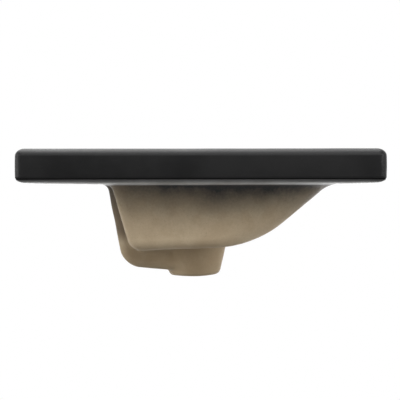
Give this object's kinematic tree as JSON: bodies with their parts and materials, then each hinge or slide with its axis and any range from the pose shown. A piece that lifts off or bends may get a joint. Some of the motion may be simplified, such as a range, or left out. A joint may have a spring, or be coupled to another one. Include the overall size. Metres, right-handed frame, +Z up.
{
  "type": "pedestal sink basin",
  "caption": "Wide rectangular ceramic basin: a thick flat matte black deck over a sloped bowl of bare clay, with a rear overflow duct and a drain boss. It rests on a pedestal or vanity.",
  "frame": {"origin": "on the drain hole's axis, at the bottom face of the drain boss", "axes": "+X to the right of a person standing at the sink, along its width; +Y from the front edge towards the wall; +Z up, along the drain hole"},
  "size_m": [0.61, 0.47, 0.1715],
  "materials": {
    "black_glaze": "matte black glaze",
    "oversprayed_clay": "bare clay under a fading black overspray",
    "fired_clay": "unglazed fired clay",
    "ring_finish": "bright plated trim"
  },
  "bodies": {
    "root": {"deck_shell": "black_glaze", "underside_web": "oversprayed_clay", "bowl": "fired_clay", "tap_well": "oversprayed_clay", "overflow_duct": "fired_clay", "drain_boss": "fired_clay", "overflow_ring": "ring_finish"}
  },
  "joints": []
}
